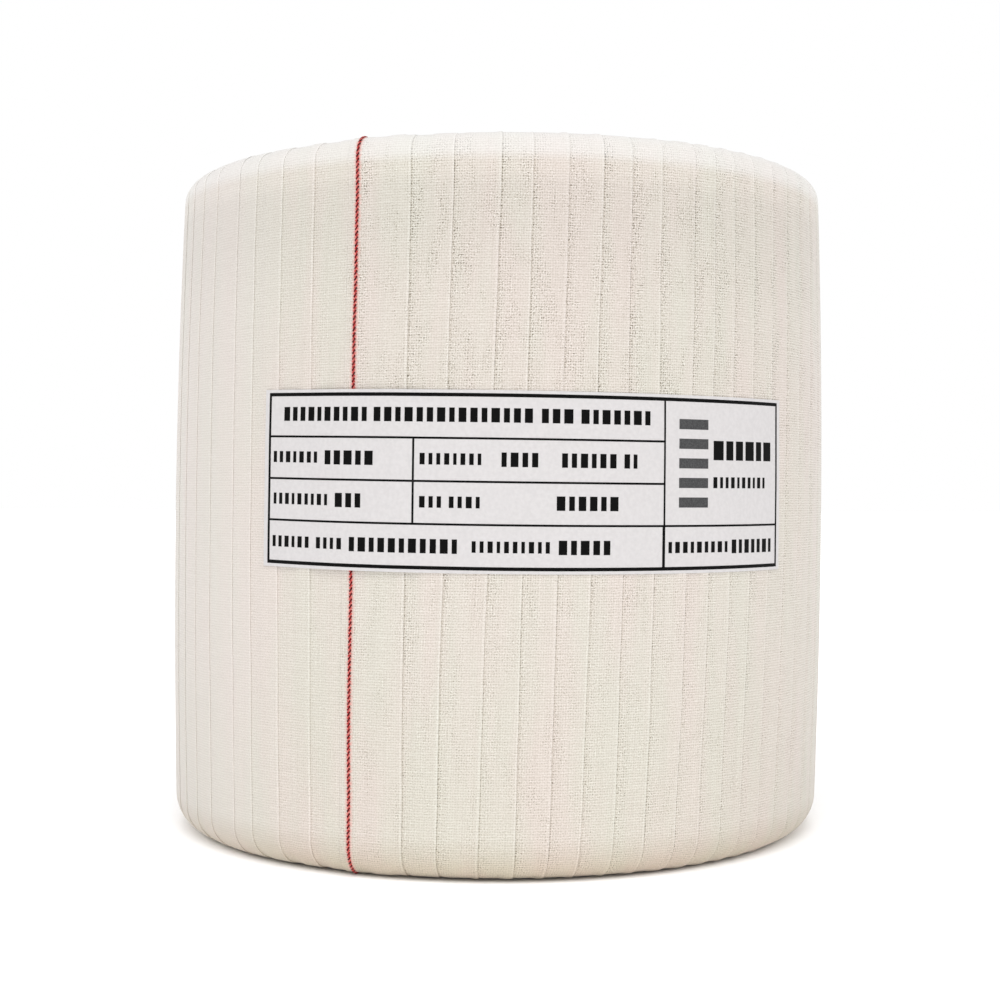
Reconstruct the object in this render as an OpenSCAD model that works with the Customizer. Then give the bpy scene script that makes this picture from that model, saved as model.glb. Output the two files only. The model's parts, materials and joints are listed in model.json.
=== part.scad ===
// Ring-type current transformer: a wound steel core, a two-layer secondary winding,
// pressboard packing and a lapped cotton tape cover with a printed rating label.
// The ring stands on its lower face. +Z is the ring axis, and the label faces -Y.

/* [Steel core] */
// Outer diameter of the wound strip core
core_od = 193; // [180:1:220]
// Inner diameter of the wound strip core
core_id = 132; // [120:1:140]
// Height of the core, the width of its steel strip
core_h = 186; // [160:1:220]

/* [Core insulation] */
// Wall of the pressboard sleeves on the core's bore and outside
core_sleeve_t = 1.5; // [0.8:0.1:2.5]
// Thickness of the pressboard washers on the core's ends
core_washer_t = 3; // [2:0.1:4]
// Rounding of the insulated core's corners, which the wire bends round
core_edge_r = 2; // [0.5:0.1:3]
// Thickness of the crepe paper wrapped over the insulated core
core_wrap_t = 1; // [0.5:0.1:2]

/* [Secondary winding] */
// Diameter of the enamelled copper wire
wire_d = 1.5; // [1:0.1:2.5]
// Thickness of the paper between the two wire layers
interlayer_t = 1; // [0.5:0.1:2]
// Bare angle between the first and the last wire of each layer, in degrees
winding_gap = 6; // [2:1:20]
// Thickness of the polyester film wrapped over the winding
film_t = 0.5; // [0.3:0.1:1.5]

/* [Packing] */
// Packing over the winding at the belly of the ring
side_pack_t = 2.8; // [2.7:0.1:5]
// Wall of the packing in the bore
bore_pack_t = 2; // [1:0.1:4]
// Thickness of the packing on the upper and lower ends
end_pack_t = 2; // [1:0.1:4]
// Length of each leg of the moulded edge rings
edge_leg = 18; // [14:1:24]
// Free space between neighbouring layers
layer_gap = 0.1; // [0.05:0.01:0.2]

/* [Outer shape] */
// How much the ring narrows from its belly over half its height
barrel = 1.92; // [0:0.1:2.2]
// Height of the belly, the widest place
belly_z = 95; // [85:1:120]
// Rounding of the upper outer edge
top_edge_r = 6; // [3:0.5:12]
// Rounding of the lower outer edge
bottom_edge_r = 11; // [6:0.5:14]
// Rounding of the edges of the bore
bore_edge_r = 5; // [3:0.5:8]

/* [Cotton tape] */
// Turns of tape wound through the bore
tape_turns = 64; // [48:1:72]
// Width of the tape
tape_w = 19; // [16:0.5:20]
// Step at each lap, the thickness of the tape
tape_t = 0.25; // [0.15:0.01:0.4]
// Build of the lapped tape on the outside wall
tape_side_t = 1.4; // [0.7:0.1:2]
// Build of the lapped tape on the ends
tape_end_t = 1.3; // [0.7:0.1:2]
// Build of the lapped tape in the bore, where the laps crowd together
tape_bore_t = 1.2; // [0.8:0.1:3]
// Angle of the last turn's right edge, seen from the front at mid-height
last_edge = -14; // [-40:0.1:40]
// Angle from the last turn's right edge back to the next lap that shows
closing_angle = 15.9; // [14:0.1:20]
// How far a hand-laid lap strays from its even place, in degrees
lap_wander = 0.45; // [0:0.05:0.8]
// Drift of the leaning laps on the outside, as a share of an even helix
outer_drift = 1.3; // [0.5:0.1:1.5]
// Turns laid upright at the start, before the laps begin to lean
upright_turns = 6; // [3:1:12]
// Turns over which the lean grows to its full drift
lean_in_turns = 20; // [10:1:40]

/* [Tracer thread] */
// Width of the red thread woven into the tape
thread_w = 1.1; // [0.6:0.1:2]
// Thickness of the thread
thread_t = 0.35; // [0.2:0.05:0.5]
// Distance of the thread from the tape's left edge
thread_inset = 3; // [1.5:0.1:6]
// Height of the thread above the tape
thread_proud = 0.12; // [0.05:0.01:0.3]
// Free space between the thread and its groove
thread_gap = 0.06; // [0.03:0.01:0.1]

/* [Label] */
// Width of the paper label, along the ring
label_w = 170.2; // [120:0.1:220]
// Height of the paper label
label_h = 51; // [40:0.1:70]
// Thickness of the paper
paper_t = 0.15; // [0.1:0.05:0.4]
// Free space between the label and the tape's crests
paper_gap = 0.15; // [0.05:0.01:0.3]
// Height of the label's centre
label_z = 112.4; // [95:0.1:130]
// Angle of the label's centre, seen from the front
label_angle = 6.15; // [-30:0.05:30]
// Bare margin between the paper's edge and the printed frame, left and right
side_margin = 1.65; // [0.5:0.05:5]
// Bare margin above and below the printed frame
end_margin = 1; // [0.5:0.05:5]
// Width of the frame lines
frame_line = 0.7; // [0.4:0.05:1.5]
// Width of the lines between the cells
cell_line = 0.45; // [0.3:0.05:1]
// Width of the first column of the table
first_column = 47.9; // [30:0.1:60]
// Width of the panel at the right end of the table
end_panel = 46.4; // [30:0.1:60]
// Height of the bars that stand for lines of print
bar_h = 2.4; // [1:0.1:4]
// Thickness of the print
ink_t = 0.06; // [0.04:0.01:0.1]

/* [Hidden] */

$fn = 180;
// Steps in a quarter turn of a rounded edge of the section.
ARC_STEPS = 6;
// Front of the ring, as an angle about Z.
FRONT = 270;

// Build on the core's sides and ends, layer by layer from the core outwards.
sleeve_side = layer_gap + core_sleeve_t;
washer_end = layer_gap + core_washer_t;
wrap_t = layer_gap + core_wrap_t;
wire_t = layer_gap + wire_d;
paper_layer_t = layer_gap + interlayer_t;
inner_winding_out = wrap_t;
interlayer_out = inner_winding_out + wire_t;
outer_winding_out = interlayer_out + paper_layer_t;
film_out = outer_winding_out + wire_t;
wound_out = film_out + layer_gap + film_t;

// Finished outline of the ring.
film_r = core_od / 2 + sleeve_side + wound_out;
film_bore_r = core_id / 2 - sleeve_side - wound_out;
belly_r = film_r + layer_gap + side_pack_t + layer_gap + tape_side_t;
bore_r = film_bore_r - layer_gap - bore_pack_t - layer_gap - tape_bore_t;
core_z = tape_end_t + layer_gap + end_pack_t + layer_gap + wound_out + washer_end;
finished_h = core_h + 2 * core_z;

function degrees_of(length, radius) = length / radius * 180 / PI;
function wall_r(z) = belly_r - barrel * pow((z - belly_z) / (finished_h / 2), 2);
function arc(x, z, r, from, to, steps = ARC_STEPS) =
    r <= 0 ? [[x, z]] : [for (i = [0:steps]) [x + r * cos(from + (to - from) * i / steps),
                                              z + r * sin(from + (to - from) * i / steps)]];

// Section of the insulated core, grown by out on every side.
function core_section(out) = let(
    x0 = core_id / 2 - sleeve_side - out,
    x1 = core_od / 2 + sleeve_side + out,
    z0 = core_z - washer_end - out,
    z1 = core_z + core_h + washer_end + out,
    r = core_edge_r + out
) concat(
    arc(x1 - r, z0 + r, r, -90, 0),
    arc(x1 - r, z1 - r, r, 0, 90),
    arc(x0 + r, z1 - r, r, 90, 180),
    arc(x0 + r, z0 + r, r, 180, 270)
);

// Heights along the outside wall between the rounded edges.
WALL_STEPS = 5;
function wall_heights() = [for (i = [1:WALL_STEPS - 1])
    bottom_edge_r + (finished_h - top_edge_r - bottom_edge_r) * i / WALL_STEPS];

// Section of the finished ring, shrunk by side, bore and end.
function ring_section(side, bore, end) = let(
    x0 = bore_r + bore,
    z1 = finished_h - end,
    r = bore_edge_r - end,
    bottom_r = bottom_edge_r - end,
    top_r = top_edge_r - end
) concat(
    arc(wall_r(bottom_edge_r) - side - bottom_r, end + bottom_r, bottom_r, -90, 0),
    [for (z = wall_heights()) [wall_r(z) - side, z]],
    arc(wall_r(finished_h - top_edge_r) - side - top_r, z1 - top_r, top_r, 0, 90),
    arc(x0 + r, z1 - r, r, 90, 180),
    arc(x0 + r, end + r, r, 180, 270)
);

// A closed wrap round the insulated core, from one build to a thicker one.
module wrap(from, thickness, start = 0, angle = 360)
    rotate_extrude(start = start, angle = angle)
        difference() {
            polygon(core_section(from + thickness));
            polygon(core_section(from));
        }

// A plain ring of rectangular section.
module plain_ring(r_in, r_out, z_low, height)
    rotate_extrude()
        translate([r_in, z_low])
            square([r_out - r_in, height]);

// A wound strip: one solid ring, with the step where the strip starts and ends.
module steel_core()
    color("#8f949a")
        plain_ring(core_id / 2, core_od / 2, core_z, core_h);

module core_bore_sleeve()
    color("#b58f5b")
        plain_ring(core_id / 2 - sleeve_side, core_id / 2 - layer_gap, core_z, core_h);

module core_outer_sleeve()
    color("#b58f5b")
        plain_ring(core_od / 2 + layer_gap, core_od / 2 + sleeve_side, core_z, core_h);

// The washers cover the ends of core and sleeves, and their edges are rounded for the wire.
module core_washer(z_low)
    color("#b58f5b")
        rotate_extrude()
            intersection() {
                polygon(core_section(0));
                translate([0, z_low])
                    square([core_od, core_washer_t]);
            }
module core_top_washer() core_washer(core_z + core_h + layer_gap);
module core_bottom_washer() core_washer(core_z - washer_end);

module core_wrap()
    color("#c9a873")
        wrap(layer_gap, core_wrap_t);

// Each wire layer is one solid, open over the angle where its ends lie.
module winding(from)
    color("#b4622f")
        wrap(from + layer_gap, wire_d, start = 90 + winding_gap / 2, angle = 360 - winding_gap);
module inner_winding() winding(inner_winding_out);
module outer_winding() winding(outer_winding_out);

module interlayer_wrap()
    color("#c9a873")
        wrap(interlayer_out + layer_gap, interlayer_t);

module winding_film()
    color("#d8d6b8")
        wrap(film_out + layer_gap, film_t);

// Packing fills the space between the winding film and the tape. Each piece takes the part
// of that space that lies in its own rectangle from corner low to corner high.
module packing(low, high)
    color("#b58f5b")
        rotate_extrude()
            intersection() {
                difference() {
                    polygon(ring_section(tape_side_t + layer_gap, tape_bore_t + layer_gap,
                                         tape_end_t + layer_gap));
                    polygon(core_section(wound_out + layer_gap));
                }
                translate(low)
                    square(high - low);
            }

leg_low = edge_leg;
leg_high = finished_h - edge_leg;
leg_bore = bore_r + edge_leg;
leg_outer = belly_r - edge_leg;
mid_r = (bore_r + belly_r) / 2;

module outer_sleeve() packing([mid_r, leg_low + layer_gap], [belly_r, leg_high - layer_gap]);
module bore_sleeve() packing([bore_r, leg_low + layer_gap], [mid_r, leg_high - layer_gap]);
module top_washer()
    packing([leg_bore + layer_gap, finished_h / 2], [leg_outer - layer_gap, finished_h]);
module bottom_washer()
    packing([leg_bore + layer_gap, 0], [leg_outer - layer_gap, finished_h / 2]);
module top_outer_edge_ring() packing([leg_outer, leg_high], [belly_r, finished_h]);
module top_bore_edge_ring() packing([bore_r, leg_high], [leg_bore, finished_h]);
module bottom_outer_edge_ring() packing([leg_outer, 0], [belly_r, leg_low]);
module bottom_bore_edge_ring() packing([bore_r, 0], [leg_bore, leg_low]);

// The tape's surface is a grid. Each row is a place on the section, given as
// [radius, height, outward normal], from the bore over the top, down the outside and back.
// Rows in the bore and under the base lie a little proud, and are then cut true.
PROUD_CUT = 0.6;
BORE_ARC_STEPS = 3;
// The grid leaves the bore's rounded edges this far short of the bore, in degrees.
CUT_ANGLE = 25;
function arc_rows(x, z, r, from, to, steps) = [for (i = [0:steps])
    let(a = from + (to - from) * i / steps) [x + r * cos(a), z + r * sin(a), cos(a), sin(a)]];
tape_rows = concat(
    [[bore_r - PROUD_CUT, finished_h - bore_edge_r, -1, 0]],
    arc_rows(bore_r + bore_edge_r, finished_h - bore_edge_r, bore_edge_r, 180 - CUT_ANGLE, 90,
             BORE_ARC_STEPS),
    [[mid_r, finished_h, 0, 1]],
    arc_rows(wall_r(finished_h - top_edge_r) - top_edge_r, finished_h - top_edge_r, top_edge_r, 90, 0, 4),
    [for (i = [WALL_STEPS - 2:-1:0]) let(z = wall_heights()[i]) [wall_r(z), z, 1, 0]],
    arc_rows(wall_r(bottom_edge_r) - bottom_edge_r, bottom_edge_r, bottom_edge_r, 0, -75, 4),
    [[wall_r(bottom_edge_r) - bottom_edge_r, -PROUD_CUT, 0, -1]],
    [[bore_r + bore_edge_r, -PROUD_CUT, 0, -1]],
    arc_rows(bore_r + bore_edge_r, bore_edge_r, bore_edge_r, -90 - CUT_ANGLE, CUT_ANGLE - 180, 1),
    [[bore_r - PROUD_CUT, bore_edge_r, -1, 0]]
);

// Length along the section up to each row, and the drift of the laps there, in degrees.
function row_step(i) = norm([tape_rows[i][0] - tape_rows[i - 1][0], tape_rows[i][1] - tape_rows[i - 1][1]]);
function row_length(i) = i < 1 ? 0 : row_length(i - 1) + row_step(i);
section_length = row_length(len(tape_rows) - 1) + finished_h - 2 * bore_edge_r;
mid_length = row_length(len(tape_rows) - 1) / 2;
lap = (360 - closing_angle) / (tape_turns - 3);
function row_drift(i) = -outer_drift * lap * (row_length(i) - mid_length) / section_length;

// The right edge of each turn, counted in winding order. The first two turns lie under the last.
LAST = tape_turns - 1;
function seam(turn) = last_edge + (LAST - turn) * lap
    + (turn == LAST || turn == 2 ? 0 : lap_wander * (sin(turn * 97) + sin(turn * 41)) / 2);

// Share of the drift that a turn takes. The first turns and the last one are laid upright.
function lean_share(turn) = turn == LAST ? 0 : max(0, min(1, (turn - upright_turns) / lean_in_turns));

// Width of the tape as an angle, held clear of the lap that it would cross near the bore.
EDGE_ANGLE = 0.15;
function tape_angle(r) = min(degrees_of(tape_w, r), closing_angle - 4 * EDGE_ANGLE);
function left_edge(r) = last_edge - tape_angle(r);
function thread_angle(r) = left_edge(r) + degrees_of(thread_inset, r);

// Stations across one turn from left to right, as [angle, depth below the crest, share of drift].
// A lap is low where it leaves its neighbour's edge, then climbs over the turn beneath it.
CLIMB = 0.35;
function lap_stations(turn) = [
    [seam(turn + 1) + EDGE_ANGLE, tape_t, lean_share(turn + 1)],
    [seam(turn + 1) + CLIMB * lap, tape_t / 8, lean_share(turn + 1)],
    [seam(turn), 0, lean_share(turn)]
];
// The last turn is bare to both edges, and holds the groove of the tracer thread.
function last_stations(r) = let(
    t = thread_angle(r),
    half = degrees_of(thread_w / 2, r),
    lip = degrees_of(thread_gap, r)
) [
    [left_edge(r), 0, 0], [t - half - 2 * lip, 0, 0], [t - half - lip, thread_t + thread_gap, 0],
    [t + half + lip, thread_t + thread_gap, 0], [t + half + 2 * lip, 0, 0], [(t + last_edge) / 2, 0, 0],
    [last_edge, 0, 0]
];
// The first turn that shows runs up to the last turn's left edge.
function first_stations(r) = let(right = 360 + left_edge(r) - EDGE_ANGLE) [
    [seam(2) + EDGE_ANGLE, tape_t, 0], [(seam(2) + EDGE_ANGLE + right) / 2, tape_t, 0], [right, tape_t, 0]
];
function tape_stations(r) = concat(
    last_stations(r),
    [for (turn = [LAST - 1:-1:2]) each lap_stations(turn)],
    first_stations(r)
);

function on_ring(row, angle, depth) = let(
    r = row[0] - depth * row[2],
    a = FRONT + angle
) [r * cos(a), r * sin(a), row[1] - depth * row[3]];

module tape_skin() {
    rows = len(tape_rows);
    columns = len(tape_stations(belly_r));
    points = [for (i = [0:rows - 1]) for (s = tape_stations(tape_rows[i][0]))
        on_ring(tape_rows[i], s[0] + s[2] * row_drift(i), s[1])];
    faces = [for (i = [0:rows - 1]) for (j = [0:columns - 1]) let(
        next_row = (i + 1) % rows,
        next_column = (j + 1) % columns,
        a = i * columns + j,
        b = i * columns + next_column,
        c = next_row * columns + next_column,
        d = next_row * columns + j
    ) each [[a, b, c], [a, c, d]]];
    polyhedron(points, faces, convexity = 6);
}

// Lapped cover of cotton tape, hollow for the ring inside, with a true bore and a flat base.
module cotton_tape()
    color("#e6e0d3")
        difference() {
            tape_skin();
            rotate_extrude()
                polygon(ring_section(tape_side_t, tape_bore_t, tape_end_t));
            translate([0, 0, -finished_h / 2])
                cylinder(r = bore_r, h = 2 * finished_h);
            translate([-core_od, -core_od, -2 * PROUD_CUT])
                cube([2 * core_od, 2 * core_od, 2 * PROUD_CUT]);
        }

// The thread follows the last turn from the top face down to the lower edge.
THREAD_FIRST_ROW = BORE_ARC_STEPS + 1;
THREAD_LAST_ROW = len(tape_rows) - 7;
module tracer_thread() {
    points = [for (i = [THREAD_FIRST_ROW:THREAD_LAST_ROW]) let(
        row = tape_rows[i],
        half = degrees_of(thread_w / 2, row[0]),
        a = thread_angle(row[0])
    ) each [
        on_ring(row, a - half, thread_t), on_ring(row, a - half, -thread_proud),
        on_ring(row, a + half, -thread_proud), on_ring(row, a + half, thread_t)
    ]];
    steps = THREAD_LAST_ROW - THREAD_FIRST_ROW;
    sides = [for (i = [0:steps - 1]) for (j = [0:3]) let(
        a = 4 * i + j,
        b = 4 * i + (j + 1) % 4
    ) each [[a, b, b + 4], [a, b + 4, a + 4]]];
    last = 4 * steps;
    ends = [[0, 2, 1], [0, 3, 2], [last, last + 1, last + 2], [last, last + 2, last + 3]];
    color("#a32a2a")
        polyhedron(points, concat(sides, ends), convexity = 4);
}

// The label is a cone, as flat paper is when it goes round a slightly tapered wall.
// Its lower and upper edges follow the wall, and its middle clears the belly.
label_low = label_z - label_h / 2;
label_high = label_z + label_h / 2;
label_bow = barrel * pow(label_h / finished_h, 2);
function label_r(z) = paper_gap + label_bow + wall_r(label_low)
    + (wall_r(label_high) - wall_r(label_low)) * (z - label_low) / label_h;

// A patch of the label from left to right and from low to high, in millimetres from the
// paper's lower left corner, over a thickness that starts at out from the paper's back.
module label_patch(left, right, low, high, out, thickness) {
    z0 = label_low + low;
    z1 = label_low + high;
    start = FRONT + label_angle + degrees_of(left - label_w / 2, belly_r);
    rotate_extrude(start = start, angle = degrees_of(right - left, belly_r))
        polygon([
            [label_r(z0) + out, z0],
            [label_r(z0) + out + thickness, z0],
            [label_r(z1) + out + thickness, z1],
            [label_r(z1) + out, z1]
        ]);
}

module label_sheet()
    color("#ebeae8")
        label_patch(0, label_w, 0, label_h, 0, paper_t);

// Print: the ruled table, and bars in place of its lines of words.
ink_out = paper_t + 0.02;
module ink(left, right, low, high) label_patch(left, right, low, high, ink_out, ink_t);

frame_left = side_margin;
frame_right = label_w - side_margin;
frame_low = end_margin;
frame_high = label_h - end_margin;
row_h = (frame_high - frame_low) / 4;
column_x = frame_left + first_column;
panel_x = frame_right - end_panel;
// Distance from a cell's line to the bar beside it.
bar_inset = 2;

// The opening of a cell, from one line's middle to another's, over whole rows of the table.
// Beside the frame the line is as wide as the frame's.
function line_half(at, edges) = at == edges[0] || at == edges[1] ? frame_line : cell_line / 2;
module cell(left, right, row, rows = 1) {
    low = frame_low + row * row_h;
    high = low + rows * row_h;
    sides = [frame_left, frame_right];
    ends = [0, 4];
    label_patch(left + line_half(left, sides), right - line_half(right, sides),
                low + line_half(row, ends), high - line_half(row + rows, ends),
                ink_out - ink_t, 3 * ink_t);
}

// A bar in a row of the table, counted from the bottom, from one place to another.
module bar(row, from, to) {
    middle = frame_low + (row + 0.5) * row_h;
    ink(from, to, middle - bar_h / 2, middle + bar_h / 2);
}

module label_print()
    color("#1b1b1d") {
        difference() {
            ink(frame_left, frame_right, frame_low, frame_high);
            cell(frame_left, panel_x, 3);
            for (row = [1, 2]) {
                cell(frame_left, column_x, row);
                cell(column_x, panel_x, row);
            }
            cell(frame_left, panel_x, 0);
            cell(panel_x, frame_right, 0);
            cell(panel_x, frame_right, 1, 3);
        }
        bar(3, frame_left + 2 * bar_inset, panel_x - 2 * bar_inset);
        bar(2, frame_left + bar_inset, column_x - 5 * bar_inset);
        bar(2, column_x + bar_inset, panel_x - 5 * bar_inset);
        bar(1, frame_left + bar_inset, column_x - 8 * bar_inset);
        bar(1, column_x + bar_inset, panel_x - 8 * bar_inset);
        bar(0, frame_left + bar_inset, panel_x - 10 * bar_inset);
        bar(0, panel_x + bar_inset, frame_right - bar_inset);
        bar(2, panel_x + 2 * bar_inset, frame_right - 2 * bar_inset);
    }

steel_core();
core_bore_sleeve();
core_outer_sleeve();
core_top_washer();
core_bottom_washer();
core_wrap();
inner_winding();
interlayer_wrap();
outer_winding();
winding_film();
outer_sleeve();
bore_sleeve();
top_washer();
bottom_washer();
top_outer_edge_ring();
top_bore_edge_ring();
bottom_outer_edge_ring();
bottom_bore_edge_ring();
cotton_tape();
tracer_thread();
label_sheet();
label_print();
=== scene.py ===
import json
import math

import bpy
import numpy as np
from mathutils import Matrix, Vector

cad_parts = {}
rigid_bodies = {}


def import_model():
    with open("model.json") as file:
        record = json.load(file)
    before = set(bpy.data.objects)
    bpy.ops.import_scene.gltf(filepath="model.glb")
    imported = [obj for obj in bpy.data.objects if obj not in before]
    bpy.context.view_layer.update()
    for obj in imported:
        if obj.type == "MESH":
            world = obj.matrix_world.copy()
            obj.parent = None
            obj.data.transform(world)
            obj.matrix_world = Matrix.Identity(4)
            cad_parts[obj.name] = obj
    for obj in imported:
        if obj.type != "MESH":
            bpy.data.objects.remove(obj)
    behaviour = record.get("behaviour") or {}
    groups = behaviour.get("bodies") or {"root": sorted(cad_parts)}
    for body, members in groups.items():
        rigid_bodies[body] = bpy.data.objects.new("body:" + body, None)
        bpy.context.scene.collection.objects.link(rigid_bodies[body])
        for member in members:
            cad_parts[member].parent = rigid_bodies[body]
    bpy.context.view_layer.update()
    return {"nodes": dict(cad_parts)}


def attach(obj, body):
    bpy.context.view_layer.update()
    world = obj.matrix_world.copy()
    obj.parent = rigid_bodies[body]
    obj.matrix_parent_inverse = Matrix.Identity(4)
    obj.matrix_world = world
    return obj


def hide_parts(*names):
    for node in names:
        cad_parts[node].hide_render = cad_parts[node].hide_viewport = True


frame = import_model()
nodes = frame["nodes"]

# Steel core: a clock-spring coil of thin silicon steel strip, about 110 turns of 0.27 mm. It is
# annealed after winding, so the strip is a dull blue grey. It is sealed in, and gives the ring
# its weight.
STRIP_PITCH = 1.08  # mm: four turns of 0.27 mm strip, drawn together so that they show


def linear(hex_colour):
    """sRGB hex to linear RGBA: c / 12.92 up to 0.04045, and ((c + 0.055) / 1.055) ** 2.4 above it."""
    c = np.array([int(hex_colour[i:i + 2], 16) for i in (1, 3, 5)]) / 255
    rgb = np.where(c <= 0.04045, c / 12.92, ((c + 0.055) / 1.055) ** 2.4)
    return (*(float(v) for v in rgb), 1.0)


def finish(name, colour, **sockets):
    """A new material and its shader. Socket names have underscores for their spaces."""
    material = bpy.data.materials.new(name)
    material.use_nodes = True
    shader = material.node_tree.nodes["Principled BSDF"]
    shader.inputs["Base Color"].default_value = linear(colour)
    for socket, value in sockets.items():
        shader.inputs[socket.replace("_", " ")].default_value = value
    return material, shader


def add(owner, kind, feeds, to=None, out=0, stops=(), **settings):
    """Adds a node to a material, or to the world, and gives its output. feeds gives its sockets a
    value or another node's output, to is the socket that the output goes to, stops are a colour
    ramp's places with their sRGB hex colours, and settings are the node's properties."""
    tree = owner.node_tree
    node = tree.nodes.new(kind)
    for key, value in settings.items():
        setattr(node, key, value)
    for key, value in feeds.items():
        if isinstance(value, bpy.types.NodeSocket):
            tree.links.new(value, node.inputs[key])
        else:
            node.inputs[key].default_value = value
    for count, (where, colour) in enumerate(stops):
        elements = node.color_ramp.elements
        element = elements[count] if count < len(elements) else elements.new(1.0)
        element.position, element.color = where, linear(colour)
    if to is not None:
        tree.links.new(node.outputs[out], to)
    return node.outputs[out]


def dress(material, *names):
    """Gives carried-over CAD nodes this material."""
    for name in names:
        nodes[name].data.materials.clear()
        nodes[name].data.materials.append(material)


# Annealed silicon steel: dull blue-grey metal, with a fine line at each turn of the strip.
steel, shader = finish("annealed_silicon_steel", "#7f868d", Metallic=1.0, Roughness=0.42)
at = add(steel, "ShaderNodeTexCoord", {}, out="Object")
at = add(steel, "ShaderNodeMapping", {"Vector": at, "Scale": (1000, 1000, 0)})
radius = add(steel, "ShaderNodeVectorMath", {0: at}, out="Value", operation="LENGTH")
turn = add(steel, "ShaderNodeMath", {0: radius, 1: STRIP_PITCH}, operation="PINGPONG")
turn = add(steel, "ShaderNodeMath", {0: turn, 1: 1 / STRIP_PITCH}, operation="MULTIPLY")
add(steel, "ShaderNodeValToRGB", {"Fac": turn}, shader.inputs["Base Color"],
    stops=[(0.0, "#4d535a"), (0.12, "#7f868d"), (1.0, "#8d949b")])
add(steel, "ShaderNodeBump", {"Height": turn, "Strength": 0.5, "Distance": 0.0001}, shader.inputs["Normal"])
dress(steel, "steel_core")

# Pressboard sleeves, washers and edge rings: calendered cellulose board, cut as strips and rings
# for the core and moulded to an angle for the ring's edges. They keep wire off the steel and
# give the tape a round edge to bend over.
FIBRE = 2.4  # mm, a bundle of fibres in the board

# Pressboard: warm brown board with short grey-brown fibres and a faint calender sheen.
board, shader = finish("calendered_pressboard", "#b58f5b", Roughness=0.62, IOR=1.45)
at = add(board, "ShaderNodeTexCoord", {}, out="Object")
at = add(board, "ShaderNodeMapping", {"Vector": at, "Scale": (1, 1, 3)})
fibre = add(board, "ShaderNodeTexNoise", {"Vector": at, "Scale": 1000 / FIBRE, "Detail": 6.0})
add(board, "ShaderNodeValToRGB", {"Fac": fibre}, shader.inputs["Base Color"],
    stops=[(0.3, "#9a7543"), (0.55, "#b58f5b"), (0.8, "#c4a26f")])
add(board, "ShaderNodeBump", {"Height": fibre, "Strength": 0.25, "Distance": 0.0002},
    shader.inputs["Normal"])
dress(board, "core_bore_sleeve", "core_outer_sleeve", "core_top_washer", "core_bottom_washer",
      "outer_sleeve", "bore_sleeve", "top_washer", "bottom_washer", "top_outer_edge_ring",
      "top_bore_edge_ring", "bottom_outer_edge_ring", "bottom_bore_edge_ring")

# Core wrap and interlayer wrap: strips of creped insulating paper, wound round the core under
# each layer of wire and stretched so that they lie flat over the corners.
CREPE = 1.1  # mm from crest to crest, measured up the ring

# Creped paper: matt tan paper with close, slightly wandering ridges. A wave of scale 1 has 20
# radians to the metre.
crepe, shader = finish("creped_paper", "#c9a873", Roughness=0.85, IOR=1.45)
at = add(crepe, "ShaderNodeTexCoord", {}, out="Object")
ridges = add(crepe, "ShaderNodeTexWave",
             {"Vector": at, "Scale": 2 * math.pi * 1000 / CREPE / 20, "Distortion": 2.2, "Detail": 3.0,
              "Detail Scale": 2.0}, bands_direction="Z")
add(crepe, "ShaderNodeValToRGB", {"Fac": ridges}, shader.inputs["Base Color"],
    stops=[(0.0, "#ab8a57"), (0.6, "#c9a873"), (1.0, "#d6b987")])
add(crepe, "ShaderNodeBump", {"Height": ridges, "Strength": 0.6, "Distance": 0.0003},
    shader.inputs["Normal"])
dress(crepe, "core_wrap", "interlayer_wrap")

# Secondary winding: two layers of 1.5 mm enamelled copper wire, about 300 turns in each, laid
# side by side through the bore. Each layer is one solid, and its wires are drawn here.
WIRES = 300

# Enamelled copper: bright copper under a clear amber varnish, so the highlights are sharp. The dark
# gaps between the wires are painted shade in the grooves.
copper, shader = finish("enamelled_copper", "#b4622f", Metallic=1.0, Roughness=0.3,
                        Coat_Weight=0.6, Coat_Roughness=0.08)
at = add(copper, "ShaderNodeTexCoord", {}, out="Object")
split = add(copper, "ShaderNodeSeparateXYZ", {"Vector": at}).node
angle = add(copper, "ShaderNodeMath", {0: split.outputs["Y"], 1: split.outputs["X"]}, operation="ARCTAN2")
wires = add(copper, "ShaderNodeMath", {0: angle, 1: WIRES / 2}, operation="MULTIPLY")
wires = add(copper, "ShaderNodeMath", {0: wires}, operation="SINE")
wires = add(copper, "ShaderNodeMath", {0: wires}, operation="ABSOLUTE")
# Painted shade in the gaps between the wires.
add(copper, "ShaderNodeValToRGB", {"Fac": wires}, shader.inputs["Base Color"],
    stops=[(0.0, "#3d1a0b"), (0.3, "#a3531f"), (1.0, "#c8743a")])
add(copper, "ShaderNodeBump", {"Height": wires, "Strength": 1.0, "Distance": 0.0006},
    shader.inputs["Normal"])
dress(copper, "inner_winding", "outer_winding")

# Winding film: polyester film wound over the finished secondary to hold it while the packing
# goes on.
RIPPLE = 17.0  # mm across a slack ripple

# Polyester film: glossy and faintly yellow, with the slack ripples of a hand-wound strip.
film, shader = finish("polyester_film", "#d8d6b8", Roughness=0.16, IOR=1.6, Coat_Weight=0.4)
at = add(film, "ShaderNodeTexCoord", {}, out="Object")
at = add(film, "ShaderNodeMapping", {"Vector": at, "Scale": (1, 1, 0.25)})
ripple = add(film, "ShaderNodeTexNoise", {"Vector": at, "Scale": 1000 / RIPPLE, "Detail": 2.0})
add(film, "ShaderNodeValToRGB", {"Fac": ripple}, shader.inputs["Base Color"],
    stops=[(0.35, "#cfcca6"), (0.65, "#dedcc2")])
add(film, "ShaderNodeBump", {"Height": ripple, "Strength": 0.4, "Distance": 0.001}, shader.inputs["Normal"])
dress(film, "winding_film")

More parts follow.
